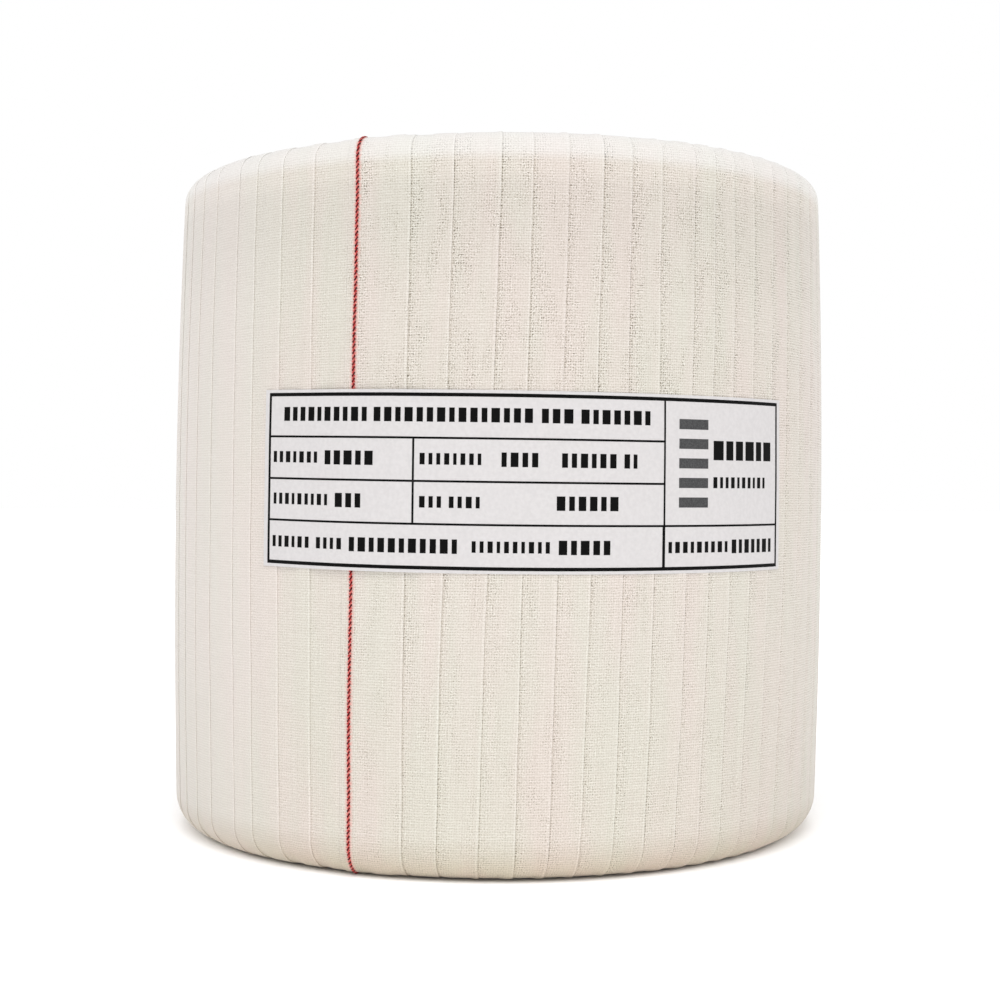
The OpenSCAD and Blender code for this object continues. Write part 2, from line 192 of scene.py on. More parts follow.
# Cotton tape: the ring's cover, one long woven tape wound 64 times through the bore with nearly
# half of its width lapped. Each turn drifts to the left as it goes down the outside, steps up
# over the turn before it, and the last one closes over the first two.
HEIGHT = 211.2       # mm, the finished ring
BELLY_R, BELLY_Z = 108.5, 95.0  # mm, the widest radius and its height
BARREL = 1.92        # mm that the wall draws in over half the ring's height
BORE_R = 55.0
TOP_EDGE, BOTTOM_EDGE, BORE_EDGE = 6.0, 11.0, 5.0  # mm, radii of the rounded edges
TURNS = 64
TAPE_W = 19.0        # mm
TAPE_T = 0.25        # mm, the step at each lap
BRIDGE = 1.2         # mm that the cloth takes to come down beside an edge under it
PICK = 0.76          # mm from one weft thread to the next
WARP = 0.72          # mm from one warp thread to the next
TRACER_X = TAPE_W - 3.0  # mm, the tracer thread's place from the tape's right edge
TAPES_DEEP = 6       # turns that can lie under one, where they crowd in the bore
CLOSING = 9          # first turns that the last ones can lie on
EDGE_DROP = 0.12     # mm that the rounded edge of the tape drops
BACK = 0.85 * TAPE_T  # how far its back is under its face
END_SKEW = 2.4       # degrees between the strip's two ends in the bore and the wall next to each
FOOT_STEP = 0.002    # mm that each turn on the floor is kept above the next
NEXT_TURN = 40.0     # mm that the weave's map moves on at each turn
LEAN = 0.0081        # how far the hand-wrapped ring leans to the right, per mm of height
TOP_RISE = 0.0041    # how much more its top rises to the right
# Right edges of the turns that were read one by one, in degrees from the front: UPPER is at the
# upper height on the wall, and DRIFT is how much further round the edge is at the lower one. The
# turns between 6 and 49 are even.
UPPER_Z, LOWER_Z = 168.3, 35.1  # mm
READ_TURNS = [0, 1, 2, 3, 4, 5, 6, 49, 50, 51, 52, 53, 54, 55, 56, 57, 58, 59, 60, 61, 62, 63]
UPPER = [-16.0, -21.8, -30.15, -36.6, -42.6, -47.3, -54.4, -300.7, -305.7, -310.7, -315.8, -320.6,
         -324.8, -329.0, -335.0, -340.1, -344.9, -350.2, -355.6, -360.5, -367.5, -373.9]
DRIFT = [-0.5, -0.2, 0.6, 0.7, 0.65, 0.7, 0.6, -2.3, -2.3, -2.2, -1.8, -1.6,
         -1.8, -2.0, -1.5, -1.5, -1.9, -1.5, -1.2, -1.7, -1.1, -0.2]


def wall_radius(z):
    """Belly radius less barrel times the square of the height above the belly over half the ring."""
    return BELLY_R - BARREL * ((z - BELLY_Z) / (HEIGHT / 2)) ** 2


def bend(x, z, r, start, stop, steps):
    """Places round an edge: its centre plus r in the direction of each angle, which is the normal."""
    a = np.radians(np.linspace(start, stop, steps + 1))
    return np.stack([x + r * np.cos(a), z + r * np.sin(a), np.cos(a), np.sin(a)], 1)


def straight(x0, z0, x1, z1, nx, nz, steps):
    """Places between two corners, both left out, with one normal."""
    t = np.linspace(0, 1, steps + 1)[1:-1]
    return np.stack([x0 + t * (x1 - x0), z0 + t * (z1 - z0), nx + 0 * t, nz + 0 * t], 1)


def ring_outline():
    """One trip round the ring's section as rows of radius, height and normal: up the bore from
    mid-height, over the top, down the barrelled wall, under the base and up the bore again."""
    top_r = wall_radius(HEIGHT - TOP_EDGE) - TOP_EDGE
    base_r = wall_radius(BOTTOM_EDGE) - BOTTOM_EDGE
    inner_r, high, mid = BORE_R + BORE_EDGE, HEIGHT - BORE_EDGE, HEIGHT / 2
    wall_z = np.linspace(HEIGHT - TOP_EDGE, BOTTOM_EDGE, 17)[1:-1]
    wall = np.stack([wall_radius(wall_z), wall_z, 1 + 0 * wall_z, 0 * wall_z], 1)
    return np.concatenate([
        [[BORE_R, mid, -1, 0]], straight(BORE_R, mid, BORE_R, high, -1, 0, 4),
        bend(inner_r, high, BORE_EDGE, 180, 90, 5), straight(inner_r, HEIGHT, top_r, HEIGHT, 0, 1, 5),
        bend(top_r, HEIGHT - TOP_EDGE, TOP_EDGE, 90, 0, 8), wall,
        bend(base_r, BOTTOM_EDGE, BOTTOM_EDGE, 0, -90, 8), straight(base_r, 0, inner_r, 0, 0, -1, 4),
        bend(inner_r, BORE_EDGE, BORE_EDGE, 270, 180, 5),
        straight(BORE_R, BORE_EDGE, BORE_R, mid, -1, 0, 4),
    ])


OUTLINE = ring_outline()
LOOP = len(OUTLINE)  # rows in one turn: the next turn starts one row after the last of them
closed = np.vstack([OUTLINE, OUTLINE[:1]])
LENGTHS = np.concatenate([[0], np.cumsum(np.hypot(*np.diff(closed[:, :2], axis=0).T))])


def edge_angles(at):
    """Right edge of the tape in degrees at a count of turns: straight lines between the places
    that were read on the wall, drawn out to the wall's ends, and a slight waver of the hand."""
    turns = np.arange(TURNS)
    upper, drift = np.interp(turns, READ_TURNS, UPPER), np.interp(turns, READ_TURNS, DRIFT)
    wall = (OUTLINE[:, 2] == 1) & (OUTLINE[:, 1] > BOTTOM_EDGE - 1)
    first, last = np.flatnonzero(wall)[[0, -1]]
    slope = drift / (UPPER_Z - LOWER_Z)
    high = upper + slope * (UPPER_Z - OUTLINE[first, 1])
    low = upper + slope * (UPPER_Z - OUTLINE[last, 1])
    share = LENGTHS / LENGTHS[-1]
    places = np.stack([turns + share[first], turns + share[last]], 1).ravel()
    angles = np.stack([high, low], 1).ravel()
    places = np.concatenate([[0], places, [TURNS]])
    angles = np.concatenate([[high[0] + END_SKEW], angles, [low[-1] - END_SKEW]])
    waver = 0.05 * np.sin(at * 37.1) + 0.04 * np.sin(at * 61.7 + 1) + 0.03 * np.sin(at * 113.3 + 2)
    return np.interp(at, places, angles) + waver


def ramp(t):
    """Smooth step from 0 to 1: 3 t squared less 2 t cubed."""
    t = np.clip(t, 0, 1)
    return t * t * (3 - 2 * t)


def covers(x):
    """How fully a tape lies under a place x mm left of its right edge, 1 on it and 0 clear of it."""
    return ramp((x + BRIDGE) / BRIDGE) * ramp((TAPE_W + BRIDGE - x) / BRIDGE)


def lean(points):
    """The finished cover leans: x grows with height, and the top rises to the right."""
    x, y, z = points.T
    return np.stack([x + LEAN * (z - HEIGHT / 2), y, z + TOP_RISE * x * z / HEIGHT], 1)


def mesh_piece(name, points, faces, material, stands_for):
    """A finished piece from millimetre points, riding on the ring in place of CAD nodes."""
    mesh = bpy.data.meshes.new(name)
    mesh.from_pydata((lean(points) / 1000).tolist(), [], faces)
    mesh.materials.append(material)
    mesh.shade_smooth()
    piece = bpy.data.objects.new(name, mesh)
    bpy.context.scene.collection.objects.link(piece)
    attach(piece, "root")
    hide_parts(*stands_for)
    return piece


ROWS = TURNS * LOOP + 1
row = np.arange(ROWS)
place = np.resize(OUTLINE, (ROWS, 4))
turn_at = row // LOOP + (LENGTHS[row % LOOP] / LENGTHS[-1])
EDGE = edge_angles(turn_at)
PITCH = np.radians(-(UPPER[7] - UPPER[6]) / (READ_TURNS[7] - READ_TURNS[6]))


def tape_height(x, rows):
    """Height of the tape's face above the finished outline at x mm from its right edge: one
    thickness for each turn under it, less those under a regular right edge."""
    r = place[rows, 0]
    angle = EDGE[rows]
    under = 0 * r
    for back in range(1, TAPES_DEEP + 1):
        lower = rows - back * LOOP
        there = covers(x + np.radians(EDGE[np.maximum(lower, 0)] - angle) * r)
        under = under + np.where(lower >= 0, there, 0)
    for early in range(CLOSING):  # the first turns lie under the last ones, a full circle on
        lower = rows % LOOP + early * LOOP
        there = covers(x + np.radians(EDGE[lower] - 360 - angle) * r)
        under = under + np.where(rows > ROWS / 2, there, 0)
    regular = sum(covers(m * PITCH * r) for m in range(1, TAPES_DEEP + 1))
    return TAPE_T * (under - regular)


def on_tape(x, rows, rise):
    """Points at x mm from the tape's right edge, rise above its face: out from the outline along
    its normal, and round the ring's axis by the edge's bearing less x over the radius."""
    r0, z0, nr, nz = place[rows].T
    a = np.radians(EDGE[rows]) - x / np.maximum(r0, BORE_R)
    out = tape_height(x, rows) + rise
    r, z = r0 + nr * out, z0 + nz * out
    z = np.maximum(z, FOOT_STEP * (TURNS - rows // LOOP))
    return np.stack([r * np.sin(a), -r * np.cos(a), z], -1)


# Columns across the tape: places on its face with how far each drops, then places on its back.
flat_x = (0.4, 1.4, 2.4, 3.4, 4.6, 6.0, 7.2, 8.0, 8.8, 9.8, 11.0, 13.4, TRACER_X, 18.6)
columns = [(0.0, EDGE_DROP), (EDGE_DROP, EDGE_DROP / 4), *((x, 0.0) for x in flat_x),
           (TAPE_W - EDGE_DROP, EDGE_DROP / 4), (TAPE_W, EDGE_DROP)]
columns += [(x, BACK) for x in (TAPE_W, 13.4, 11.0, 8.8, 7.2, 3.4, 0.0)]
points = np.stack([on_tape(x, row, -drop) for x, drop in columns], 1)
n = len(columns)
i, j = np.meshgrid(np.arange(ROWS - 1), np.arange(n), indexing="ij")
i, j = i.ravel(), j.ravel()
k = (j + 1) % n
quads = np.stack([i * n + j, i * n + k, (i + 1) * n + k, (i + 1) * n + j], 1)
faces = quads.tolist() + [list(range(n))[::-1], [(ROWS - 1) * n + c for c in range(n)]]

# Real sizes of the cloth's unevenness, in mm across the tape and along it.
SLUB = (8.33, 0.844)    # a thicker stretch of a pick
PROUD = (0.625, 50.7)   # a warp thread that runs proud
PATCH = (4.545, 15.2)   # a loose patch
CLUMP = (1.111, 0.95)   # a few threads that lie close together
WANDER, SPECK = 1.111, 0.435  # one bend of a straying thread, and a tuft of fibres
BAND = 14.3             # a tinted band, across the ring


def on_weave(across, along):
    """A pattern's scale on the weave's map, from its size in mm: the map's u is in mm and its v
    counts picks."""
    return (1 / across, PICK / along, 1)


# Woven cotton: matt unbleached cream. Round weft picks stand out as fine level ribs, crossed by
# the warp. Where the cloth spans a step it is slack, and its pores show as dark dots. The dark
# furrows and pores in its colour are partly painted shade, for the weave's relief.
cotton, shader = finish("woven_cotton", "#dfd6cb", Roughness=0.9, Specular_IOR_Level=0.2,
                        Sheen_Weight=0.3, Sheen_Roughness=0.4)
weave = add(cotton, "ShaderNodeUVMap", {}, uv_map="weave")
# Hand-spun wander: each thread strays by about a third of its width over a millimetre or two.
stray = add(cotton, "ShaderNodeTexNoise", {"Vector": weave, "Scale": 1 / WANDER, "Detail": 1.0},
            out="Color")
strayed = add(cotton, "ShaderNodeVectorMath", {0: stray, 1: (1.0, 0.7, 0), 2: weave},
              operation="MULTIPLY_ADD")
split = add(cotton, "ShaderNodeSeparateXYZ", {"Vector": strayed}).node
pick = add(cotton, "ShaderNodeMath", {0: split.outputs["Y"], 1: math.pi}, operation="MULTIPLY")
pick = add(cotton, "ShaderNodeMath", {0: pick}, operation="SINE")
rib = add(cotton, "ShaderNodeMath", {0: pick}, operation="ABSOLUTE")
warp = add(cotton, "ShaderNodeMath", {0: split.outputs["X"], 1: math.pi / WARP}, operation="MULTIPLY")
warp = add(cotton, "ShaderNodeMath", {0: warp}, operation="SINE")
wale = add(cotton, "ShaderNodeMath", {0: warp}, operation="ABSOLUTE")
cross = add(cotton, "ShaderNodeMath", {0: pick, 1: warp}, operation="MULTIPLY")
relief = add(cotton, "ShaderNodeMath", {0: cross, 1: 0.35, 2: rib}, operation="MULTIPLY_ADD")
furrow = add(cotton, "ShaderNodeMath", {0: 1.0, 1: rib}, operation="SUBTRACT")
valley = add(cotton, "ShaderNodeMath", {0: 1.0, 1: wale}, operation="SUBTRACT")
pore = add(cotton, "ShaderNodeMath", {0: furrow, 1: valley}, operation="MULTIPLY")
# Uneven spinning: picks thicker over a few millimetres, and warp threads that run proud.
at = add(cotton, "ShaderNodeMapping", {"Vector": weave, "Scale": on_weave(*SLUB)})
slub = add(cotton, "ShaderNodeTexNoise", {"Vector": at, "Scale": 1.0, "Detail": 2.0})
at = add(cotton, "ShaderNodeMapping", {"Vector": weave, "Scale": on_weave(*PROUD)})
streak = add(cotton, "ShaderNodeTexNoise", {"Vector": at, "Scale": 1.0, "Detail": 1.0})
uneven = add(cotton, "ShaderNodeMath", {0: slub, 1: streak}, operation="ADD")
# Slack cloth: all of it just right of a lap's edge, less over the next few millimetres, and in
# loose patches a few millimetres wide and long.
lap = add(cotton, "ShaderNodeAttribute", {}, out="Fac", attribute_name="lap")
slack = add(cotton, "ShaderNodeMath", {0: lap, 1: -0.45}, operation="MULTIPLY")
slack = add(cotton, "ShaderNodeMath", {0: slack}, operation="EXPONENT")
at = add(cotton, "ShaderNodeMapping", {"Vector": weave, "Scale": on_weave(*PATCH)})
patch = add(cotton, "ShaderNodeTexNoise", {"Vector": at, "Scale": 1.0, "Detail": 2.0})
patch = add(cotton, "ShaderNodeMapRange", {0: patch, 1: 0.48, 2: 0.66, 3: 0.0, 4: 0.65})
slack = add(cotton, "ShaderNodeMath", {0: slack, 1: patch}, operation="ADD")
at = add(cotton, "ShaderNodeMapping", {"Vector": weave, "Scale": on_weave(*CLUMP)})
spots = add(cotton, "ShaderNodeTexNoise", {"Vector": at, "Scale": 1.0, "Detail": 1.0})
spots = add(cotton, "ShaderNodeMapRange", {0: spots, 1: 0.35, 2: 0.62, 3: 0.1, 4: 1.0})
slack = add(cotton, "ShaderNodeMath", {0: slack, 1: spots}, operation="MULTIPLY")
# The dots are strongest over the upper half, and faint on the first turns.
ring_at = add(cotton, "ShaderNodeTexCoord", {}, out="Object")
height = add(cotton, "ShaderNodeSeparateXYZ", {"Vector": ring_at}, out="Z")
high = add(cotton, "ShaderNodeMapRange", {0: height, 1: 0.06, 2: 0.15, 3: 0.5, 4: 1.0})
across = add(cotton, "ShaderNodeSeparateXYZ", {"Vector": weave})
later = add(cotton, "ShaderNodeMapRange",
            {0: across, 1: 6 * NEXT_TURN, 2: 12 * NEXT_TURN, 3: 0.25, 4: 1.0})
loose = add(cotton, "ShaderNodeMath", {0: high, 1: later}, operation="MULTIPLY")
slack = add(cotton, "ShaderNodeMath", {0: slack, 1: loose}, operation="MULTIPLY")
# Painted shade: a dark line in the corner right of each lap's edge, broken by the picks and faint
# on the first turns. Painted highlight: a light line along the edge itself, partly the thicker, paler
# selvedge.
corner_shade = add(cotton, "ShaderNodeMapRange", {0: lap, 1: 0.05, 2: 0.55, 3: 0.22, 4: 0.0})
broken = add(cotton, "ShaderNodeMath", {0: spots, 1: 0.35, 2: 0.65}, operation="MULTIPLY_ADD")
corner_shade = add(cotton, "ShaderNodeMath", {0: corner_shade, 1: broken}, operation="MULTIPLY")
corner_shade = add(cotton, "ShaderNodeMath", {0: corner_shade, 1: later}, operation="MULTIPLY")
# Painted highlight along each turn's right edge.
edge = add(cotton, "ShaderNodeMath", {0: across, 1: NEXT_TURN}, operation="MODULO")
edge = add(cotton, "ShaderNodeMapRange", {0: edge, 1: 0.35, 2: 0.75, 3: 0.09, 4: 0.0})
# The tone sums these up, and a colour ramp turns it into cream.
# Painted shade, in part: pores and the furrows between threads darken the tone.
dots = add(cotton, "ShaderNodeMath", {0: slack, 1: 1.0, 2: 0.12}, operation="MULTIPLY_ADD")
dots = add(cotton, "ShaderNodeMath", {0: dots, 1: pore}, operation="MULTIPLY")
grid = add(cotton, "ShaderNodeMath", {0: valley, 1: 0.4, 2: furrow}, operation="MULTIPLY_ADD")
lines = add(cotton, "ShaderNodeMath", {0: grid, 1: uneven}, operation="MULTIPLY")
# Single fibres are too fine to show, so tufts of them are drawn, as light and dark specks that
# are strongest where the cloth is slack.
fibres = add(cotton, "ShaderNodeTexNoise", {"Vector": weave, "Scale": 1 / SPECK, "Detail": 1.0})
fibres = add(cotton, "ShaderNodeMath", {0: fibres, 1: 0.5}, operation="SUBTRACT")
fleck = add(cotton, "ShaderNodeMath", {0: slack, 1: 1.0, 2: 0.25}, operation="MULTIPLY_ADD")
fleck = add(cotton, "ShaderNodeMath", {0: fleck, 1: fibres}, operation="MULTIPLY")
tone = add(cotton, "ShaderNodeMath", {0: uneven, 1: 0.16, 2: 0.68}, operation="MULTIPLY_ADD")
tone = add(cotton, "ShaderNodeMath", {0: dots, 1: -1.1, 2: tone}, operation="MULTIPLY_ADD")
tone = add(cotton, "ShaderNodeMath", {0: lines, 1: -0.125, 2: tone}, operation="MULTIPLY_ADD")
tone = add(cotton, "ShaderNodeMath", {0: fleck, 1: 1.8, 2: tone}, operation="MULTIPLY_ADD")
tone = add(cotton, "ShaderNodeMath", {0: tone, 1: corner_shade}, operation="SUBTRACT")
tone = add(cotton, "ShaderNodeMath", {0: tone, 1: edge}, operation="ADD", use_clamp=True)
base = add(cotton, "ShaderNodeValToRGB", {"Fac": tone},
           stops=[(0.0, "#6c6256"), (0.45, "#bcb3a7"), (0.8, "#dfd7d0"), (1.0, "#f2ede8")])
# Faint pink and green bands run down the ring, from tape off different reels of yarn.
at = add(cotton, "ShaderNodeMapping", {"Vector": ring_at, "Scale": (1, 1, 0.18)})
mottle = add(cotton, "ShaderNodeTexNoise", {"Vector": at, "Scale": 1000 / BAND, "Detail": 3.0})
tint = add(cotton, "ShaderNodeValToRGB", {"Fac": mottle}, stops=[(0.38, "#f7fff6"), (0.62, "#fffaf8")])
cream = add(cotton, "ShaderNodeMix", {0: 0.5, 6: base, 7: tint}, out=2, data_type="RGBA",
            blend_type="MULTIPLY")
# Painted light: the second to the fourteenth turn, on the left of the front, are drawn cooler and
# smoother, for the whiter light that grazes that side.
cool_left_turns = add(cotton, "ShaderNodeMath", {0: across, 1: TURNS * NEXT_TURN}, operation="DIVIDE")
cool_left_turns = add(cotton, "ShaderNodeValToRGB", {"Fac": cool_left_turns},
           stops=[(0.03, "#000000"), (0.07, "#b8b8b8"), (0.2, "#b8b8b8"), (0.23, "#000000")])
cream = add(cotton, "ShaderNodeMix", {0: cool_left_turns, 6: cream, 7: linear("#e2dcd7")}, out=2, data_type="RGBA")
# Painted shade: the foot is darker and a faint brown, and the wall just below the top edge is
# dulled. Painted highlight: on that edge the cloth is paler and smoother, less so on the end face.
# Places on both ramps are shares of the cover's height, lean and laps included.
COVER_TOP = 212.5  # mm
height = add(cotton, "ShaderNodeMapRange", {0: height, 1: 0.0, 2: COVER_TOP / 1000})
# Painted shade by height: a darker, browner foot and a dull band below the top edge.
height_shade = add(cotton, "ShaderNodeValToRGB", {"Fac": height},
           stops=[(0.0, "#f5edde"), (0.014, "#e9e2d6"), (0.038, "#f4f1ec"), (0.061, "#fdfdfc"),
                  (0.35, "#ffffff"), (0.77, "#fdfdfd"), (0.87, "#f8f8f8"), (0.922, "#f8f8f8"),
                  (0.942, "#ffffff")])
cream = add(cotton, "ShaderNodeMix", {0: 1.0, 6: cream, 7: height_shade}, out=2, data_type="RGBA",
            blend_type="MULTIPLY")
# Painted highlight on the top edge, strongest toward the outer rim.
rim_highlight = add(cotton, "ShaderNodeValToRGB", {"Fac": height},
           stops=[(0.952, "#000000"), (0.966, "#a0a0a0"), (0.98, "#b0b0b0"), (0.991, "#cacaca")])
flat = add(cotton, "ShaderNodeVectorMath", {0: ring_at, 1: (1.0, 1.0, 0.0)}, operation="MULTIPLY")
rim = add(cotton, "ShaderNodeVectorMath", {0: flat}, out="Value", operation="LENGTH")
rim = add(cotton, "ShaderNodeMapRange", {0: rim, 1: 0.085, 2: 0.1, 3: 0.3, 4: 1.0})
rim_highlight = add(cotton, "ShaderNodeMath", {0: rim_highlight, 1: rim}, operation="MULTIPLY")
cream = add(cotton, "ShaderNodeMix", {0: rim_highlight, 6: cream, 7: linear("#f6f7f8")}, out=2, data_type="RGBA")
# The tracer's dye has bled into the cloth for a millimetre on each side.
near = add(cotton, "ShaderNodeMath", {0: across, 1: (TURNS - 1) * NEXT_TURN + TRACER_X},
           operation="SUBTRACT")
near = add(cotton, "ShaderNodeMath", {0: near}, operation="ABSOLUTE")
near = add(cotton, "ShaderNodeMapRange", {0: near, 1: 0.6, 2: 1.4, 3: 0.9, 4: 0.0})
near = add(cotton, "ShaderNodeMath", {0: near, 1: spots}, operation="MULTIPLY")
add(cotton, "ShaderNodeMix", {0: near, 6: cream, 7: linear("#eab7ae")}, shader.inputs["Base Color"],
    out=2, data_type="RGBA")
add(cotton, "ShaderNodeBump", {"Height": relief, "Strength": 0.35, "Distance": 0.0001},
    shader.inputs["Normal"])

tape = mesh_piece("cotton_tape_cover", points.reshape(-1, 3), faces, cotton,
                  ["cotton_tape"])

# The weave follows the tape: u is millimetres across from the right edge, NEXT_TURN further on for
# each turn, and v counts picks, a whole number to each turn.
picks = 2 * round(LENGTHS[-1] / PICK / 2)
v_row = LENGTHS / LENGTHS[-1] * picks
x_of = np.array([x for x, drop in columns])
u_of = x_of[np.stack([j, k, k, j], 1)] + NEXT_TURN * (i // LOOP)[:, None]
v_of = v_row[np.stack([i % LOOP, i % LOOP, i % LOOP + 1, i % LOOP + 1], 1)]
caps = np.stack([np.concatenate([x_of[::-1], x_of]), np.zeros(2 * n)], 1)
uv = np.concatenate([np.stack([u_of, v_of], -1).reshape(-1, 2), caps])
layer = tape.data.uv_layers.new(name="weave")
layer.data.foreach_set("uv", uv.astype(np.float32).ravel())

# Lap is millimetres to the right of the next turn's edge, or on the last turn of the tracer
# thread, where cloth left of the thread counts as far from any edge.
each_row, each_x = row[:, None], x_of[None, :]
after = np.minimum(each_row + LOOP, ROWS - 1)
to_next = -(each_x + np.radians(EDGE[after] - EDGE[each_row]) * place[each_row, 0])
to_thread = np.where(each_x < TRACER_X + 0.1, TRACER_X - each_x + 0.5, 9.0)
lap_of = np.where(each_row < ROWS - LOOP, to_next, to_thread)
attribute = tape.data.attributes.new("lap", "FLOAT", "POINT")
attribute.data.foreach_set("value", lap_of.astype(np.float32).ravel())

# Tracer thread: a red twisted two-ply cotton yarn, woven in 3 mm from the tape's left edge to
# mark its make. Only the last turn shows it, since each other turn covers it.
PLY_R, TWIST = 0.28, 1.6  # mm, a ply's radius and the length of one twist
PRESSED = 0.6             # height of the yarn over its width
SEAT = 0.1                # mm, the yarn's middle above the cloth
RINGS, SIDES = 11, 6      # rings of points to a twist, and points to a ring

last_rows = np.arange(ROWS - 1 - LOOP, ROWS)
seat = on_tape(TRACER_X, last_rows, SEAT)
outward = place[last_rows][:, [2, 3]]
bearing = np.radians(EDGE[last_rows]) - TRACER_X / place[last_rows, 0]
normal = np.stack([outward[:, 0] * np.sin(bearing), -outward[:, 0] * np.cos(bearing), outward[:, 1]], 1)
run = np.concatenate([[0], np.cumsum(np.linalg.norm(np.diff(seat, axis=0), axis=1))])
even = np.linspace(0, run[-1], int(run[-1] / TWIST * RINGS))
path = np.stack([np.interp(even, run, c) for c in seat.T], 1)
up = np.stack([np.interp(even, run, c) for c in normal.T], 1)
up /= np.linalg.norm(up, axis=1, keepdims=True)
ahead = np.gradient(path, axis=0)
ahead /= np.linalg.norm(ahead, axis=1, keepdims=True)
side = np.cross(ahead, up)


def ply(phase):
    """One strand: a tube whose middle goes round the yarn's path once per twist, as cosine to the
    side and sine upwards. Both the tube and its circle are pressed flat."""
    turn = -2 * math.pi * even / TWIST + phase
    round_ply = 2 * math.pi * np.arange(SIDES) / SIDES
    wide = PLY_R * (np.cos(turn)[:, None] + np.cos(round_ply)[None, :])
    tall = PRESSED * PLY_R * (np.sin(turn)[:, None] + np.sin(round_ply)[None, :])
    return path[:, None] + wide[..., None] * side[:, None] + tall[..., None] * up[:, None]


def tube_faces(count, sides, start):
    """Faces of a closed tube of rings, from its first point, with its ends."""
    a, b = np.meshgrid(np.arange(count - 1), np.arange(sides), indexing="ij")
    a, b = a.ravel(), b.ravel()
    c = (b + 1) % sides
    ring = np.stack([a * sides + b, (a + 1) * sides + b, (a + 1) * sides + c, a * sides + c], 1) + start
    first = [start + s for s in range(sides)]
    final = [start + (count - 1) * sides + s for s in range(sides)][::-1]
    return ring.tolist() + [first, final]


strands = np.concatenate([ply(0).reshape(-1, 3), ply(math.pi).reshape(-1, 3)])
strands[:, 2] = np.maximum(strands[:, 2], 0)
yarn_faces = tube_faces(len(even), SIDES, 0) + tube_faces(len(even), SIDES, len(even) * SIDES)

FUZZ = 0.667  # mm, a tuft of fibres on the yarn

# Dyed cotton yarn: one ply matt deep red, the other paler, with fibres that catch the light.
yarn, shader = finish("red_cotton_yarn", "#a32530", Roughness=0.85, Specular_IOR_Level=0.2,
                      Sheen_Weight=0.2, Sheen_Roughness=0.4)
at = add(yarn, "ShaderNodeTexCoord", {}, out="Object")
fuzz = add(yarn, "ShaderNodeTexNoise", {"Vector": at, "Scale": 1000 / FUZZ, "Detail": 2.0})
ply_of = add(yarn, "ShaderNodeAttribute", {}, out="Fac", attribute_name="ply")
shades = add(yarn, "ShaderNodeMath", {0: fuzz, 1: 0.7, 2: ply_of}, operation="MULTIPLY_ADD")
add(yarn, "ShaderNodeValToRGB", {"Fac": shades}, shader.inputs["Base Color"],
    stops=[(0.24, "#3e0007"), (0.5, "#8c0914"), (0.76, "#c93634"), (0.97, "#ee938b")])
tracer = mesh_piece("tracer_yarn", strands, yarn_faces, yarn, ["tracer_thread"])
attribute = tracer.data.attributes.new("ply", "FLOAT", "POINT")
attribute.data.foreach_set("value", np.repeat([0.0, 0.5], len(even) * SIDES).astype(np.float32))

# Rating label: a paper sheet glued round the front of the cover, a little above its middle. It
# lies on the crests of the laps, and eases over the last turn and the tracer thread.
LABEL_W, LABEL_H = 170.2, 51.0    # mm
LABEL_Z, LABEL_TURN = 112.4, 6.07  # its middle: mm above the floor, and degrees right of the front
PAPER_T = 0.15
PAPER_GAP = 0.16                   # mm between its back and the ring's plain wall
SLOPE, SAG, SPREAD = 0.92, 0.66, 0.12  # mm that the hand-laid label falls, sags and opens at its ends
SWELL = 0.62                       # mm that it is lifted by the last turn of tape
SWELL_FROM, SWELL_TO, SWELL_EASE = -31, -10, 7  # degrees: where that starts, ends and eases in
CELL = 1.6                         # mm, the mesh's grid
SHARP = math.radians(40)           # edges over this stay sharp


def on_label(u, v, rise):
    """Points on the label: u and v are mm from its lower left corner, rise is above its back. Its
    height falls by SLOPE from the middle to the right end, and its ends are SAG above its middle.
    Its radius is the wall's, with the swell of the last turn and two small sine ripples."""
    end = 2 * u / LABEL_W - 1
    z = LABEL_Z - LABEL_H / 2 + v - SLOPE * end + SAG * end ** 2 + SPREAD * end * (1 - 2 * v / LABEL_H)
    degrees = LABEL_TURN + np.degrees((u - LABEL_W / 2) / BELLY_R)
    swell = SWELL * ramp((degrees - SWELL_FROM) / SWELL_EASE) * ramp((SWELL_TO - degrees) / SWELL_EASE)
    ripple = 0.03 * np.sin(np.radians(degrees) * 62) + 0.02 * np.sin(v * 0.21 + u * 0.05)
    r = wall_radius(z) + PAPER_GAP + swell + ripple + rise
    a = np.radians(degrees)
    return np.stack([r * np.sin(a), -r * np.cos(a), z + 0 * a], -1)


def sheet(u0, u1, v0, v1, low, thick):
    """A closed thin plate on the label between two corners: its front and back are grids of about
    CELL mm, joined round the edge."""
    nu, nv = max(1, int((u1 - u0) / CELL)), max(1, int((v1 - v0) / CELL))
    u, v = np.meshgrid(np.linspace(u0, u1, nu + 1), np.linspace(v0, v1, nv + 1))
    front, rear = on_label(u, v, low + thick), on_label(u, v, low)
    w = nu + 1
    a, b = np.meshgrid(np.arange(nv), np.arange(nu), indexing="ij")
    q = (a * w + b).ravel()
    fronts = np.stack([q, q + 1, q + w + 1, q + w], 1)
    count = w * (nv + 1)
    rears = fronts[:, ::-1] + count
    rim = np.concatenate([np.arange(w), np.arange(1, nv + 1) * w + nu,
                          nv * w + np.arange(nu)[::-1], np.arange(1, nv)[::-1] * w])
    onward = np.roll(rim, -1)
    edge = np.stack([rim, rim + count, onward + count, onward], 1)
    points = np.concatenate([front.reshape(-1, 3), rear.reshape(-1, 3)])
    return points, np.concatenate([fronts, rears, edge])


TOOTH = 1.11  # mm, a cloud of fibres in the paper

